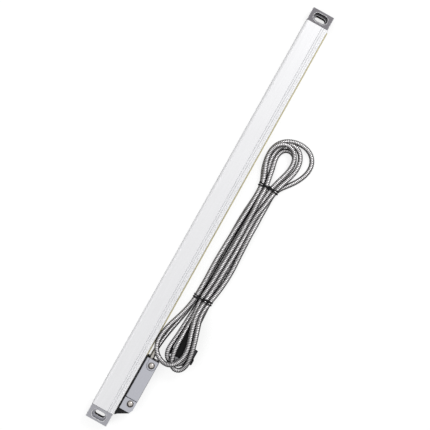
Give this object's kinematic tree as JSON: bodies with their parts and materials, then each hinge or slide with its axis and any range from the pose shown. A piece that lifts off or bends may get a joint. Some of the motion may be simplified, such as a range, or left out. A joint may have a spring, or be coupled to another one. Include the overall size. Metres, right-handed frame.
{
  "type": "linear glass scale",
  "caption": "Sealed linear glass scale: slim extruded housing with slotted end caps, sliding read head on a sealed blade, and a folded armoured cable with a D-sub plug.",
  "frame": {"origin": "middle of the housing's back face, on the mounting plane", "axes": "+X along the bar towards the cable side, +Y away from the read head, +Z away from the mounting plane"},
  "size_m": [0.492, 0.0835, 0.024],
  "materials": {
    "anodised_aluminium": "matt silver anodised extrusion",
    "lip_polyurethane": "translucent olive polyurethane",
    "scale_glass": "ground and polished",
    "black_rubber": "moulded nitrile rubber",
    "cap_casting": "bead-blasted grey die casting",
    "plated_screw": "zinc plated",
    "head_casting": "pale blue-grey painted die casting",
    "bright_screw": "bright stainless",
    "black_casting": "black anodised casting",
    "spring_steel": "ground stainless spring steel",
    "circuit_board": "solder-masked laminate",
    "ribbon_film": "polyimide film",
    "cable_sheath": "extruded sheath",
    "carriage_casting": "milled casting",
    "clear_glass": "moulded lens",
    "nickel_gland": "nickel plated, turned",
    "cable_armour": "interlocked stainless strip",
    "cable_bulk": "stands in for the folded armoured cable",
    "tie_plastic": "plastic-covered wire",
    "hood_plastic": "moulded, fine texture",
    "plug_tin": "tin plated pressing",
    "insulator_plastic": "moulded insulator",
    "gold_contact": "gold flashed",
    "thumbscrew_steel": "blackened steel",
    "bearing_steel": "ground bearing steel"
  },
  "bodies": {
    "scale": {"housing": "anodised_aluminium", "lip_lower": "lip_polyurethane", "lip_upper": "lip_polyurethane", "glass_scale": "scale_glass", "glass_retainer": "black_rubber", "cap_left": "cap_casting", "cap_right": "cap_casting", "gasket_left": "black_rubber", "gasket_right": "black_rubber", "cap_screws": "plated_screw", "bumper_left": "black_rubber", "bumper_right": "black_rubber"},
    "head": {"head_body": "head_casting", "head_cover": "head_casting", "cover_gasket": "black_rubber", "cover_screws": "plated_screw", "head_screws": "bright_screw", "ground_screw": "bright_screw", "drive_arm": "black_casting", "arm_screws": "plated_screw", "blade": "spring_steel", "blade_screws": "plated_screw", "coupling_pin": "spring_steel", "coupling_spring": "spring_steel", "signal_board": "circuit_board", "board_screws": "plated_screw", "flex_ribbon": "ribbon_film", "inner_cable": "cable_sheath", "carriage_frame": "carriage_casting", "roller_pins": "spring_steel", "lamp_board": "circuit_board", "lens": "clear_glass", "index_grating": "scale_glass", "sensor_board": "circuit_board", "cable_gland": "nickel_gland", "cable_lead": "cable_armour", "cable_hank": "cable_bulk", "cable_tail": "cable_armour", "tie_left": "tie_plastic", "tie_right": "tie_plastic", "hood_lower": "hood_plastic", "hood_upper": "hood_plastic", "hood_screws": "plated_screw", "plug_shell": "plug_tin", "plug_insulator": "insulator_plastic", "plug_pins": "gold_contact", "cable_clamp": "plug_tin"},
    "roller_top_left": {"roller_top_left": "bearing_steel"},
    "roller_top_right": {"roller_top_right": "bearing_steel"},
    "roller_top_far": {"roller_top_far": "bearing_steel"},
    "roller_edge_left": {"roller_edge_left": "bearing_steel"},
    "roller_edge_right": {"roller_edge_right": "bearing_steel"},
    "thumbscrew_near": {"thumbscrew_near": "thumbscrew_steel"},
    "thumbscrew_far": {"thumbscrew_far": "thumbscrew_steel"}
  },
  "joints": [
    {"name": "head_slide", "type": "slide", "parent": "scale", "child": "head", "axis": [1, 0, 0], "range_m": [0, 0.385]},
    {"name": "roller_top_left_spin", "type": "hinge", "parent": "head", "child": "roller_top_left", "pos_m": [-0.2125, 0.0022, 0.01193], "axis": [0, 1, 0], "continuous": true},
    {"name": "roller_top_right_spin", "type": "hinge", "parent": "head", "child": "roller_top_right", "pos_m": [-0.1725, 0.0022, 0.01193], "axis": [0, 1, 0], "continuous": true},
    {"name": "roller_top_far_spin", "type": "hinge", "parent": "head", "child": "roller_top_far", "pos_m": [-0.1825, 0.0052, 0.01193], "axis": [0, 1, 0], "continuous": true},
    {"name": "roller_edge_left_spin", "type": "hinge", "parent": "head", "child": "roller_edge_left", "pos_m": [-0.2075, -0.00283, 0.0085], "axis": [0, 0, 1], "continuous": true},
    {"name": "roller_edge_right_spin", "type": "hinge", "parent": "head", "child": "roller_edge_right", "pos_m": [-0.1775, -0.00283, 0.0085], "axis": [0, 0, 1], "continuous": true},
    {"name": "thumbscrew_near_turn", "type": "hinge", "parent": "head", "child": "thumbscrew_near", "pos_m": [-0.146, -0.056, 0.0075], "axis": [1, 0, 0], "continuous": true},
    {"name": "thumbscrew_far_turn", "type": "hinge", "parent": "head", "child": "thumbscrew_far", "pos_m": [-0.146, -0.031, 0.0075], "axis": [1, 0, 0], "continuous": true}
  ],
  "couplings": [
    {"joint": "roller_top_left_spin", "follows": "head_slide", "rad_per_m": 416.67},
    {"joint": "roller_top_right_spin", "follows": "head_slide", "rad_per_m": 416.67},
    {"joint": "roller_top_far_spin", "follows": "head_slide", "rad_per_m": 416.67},
    {"joint": "roller_edge_left_spin", "follows": "head_slide", "rad_per_m": 416.67},
    {"joint": "roller_edge_right_spin", "follows": "head_slide", "rad_per_m": 416.67}
  ]
}
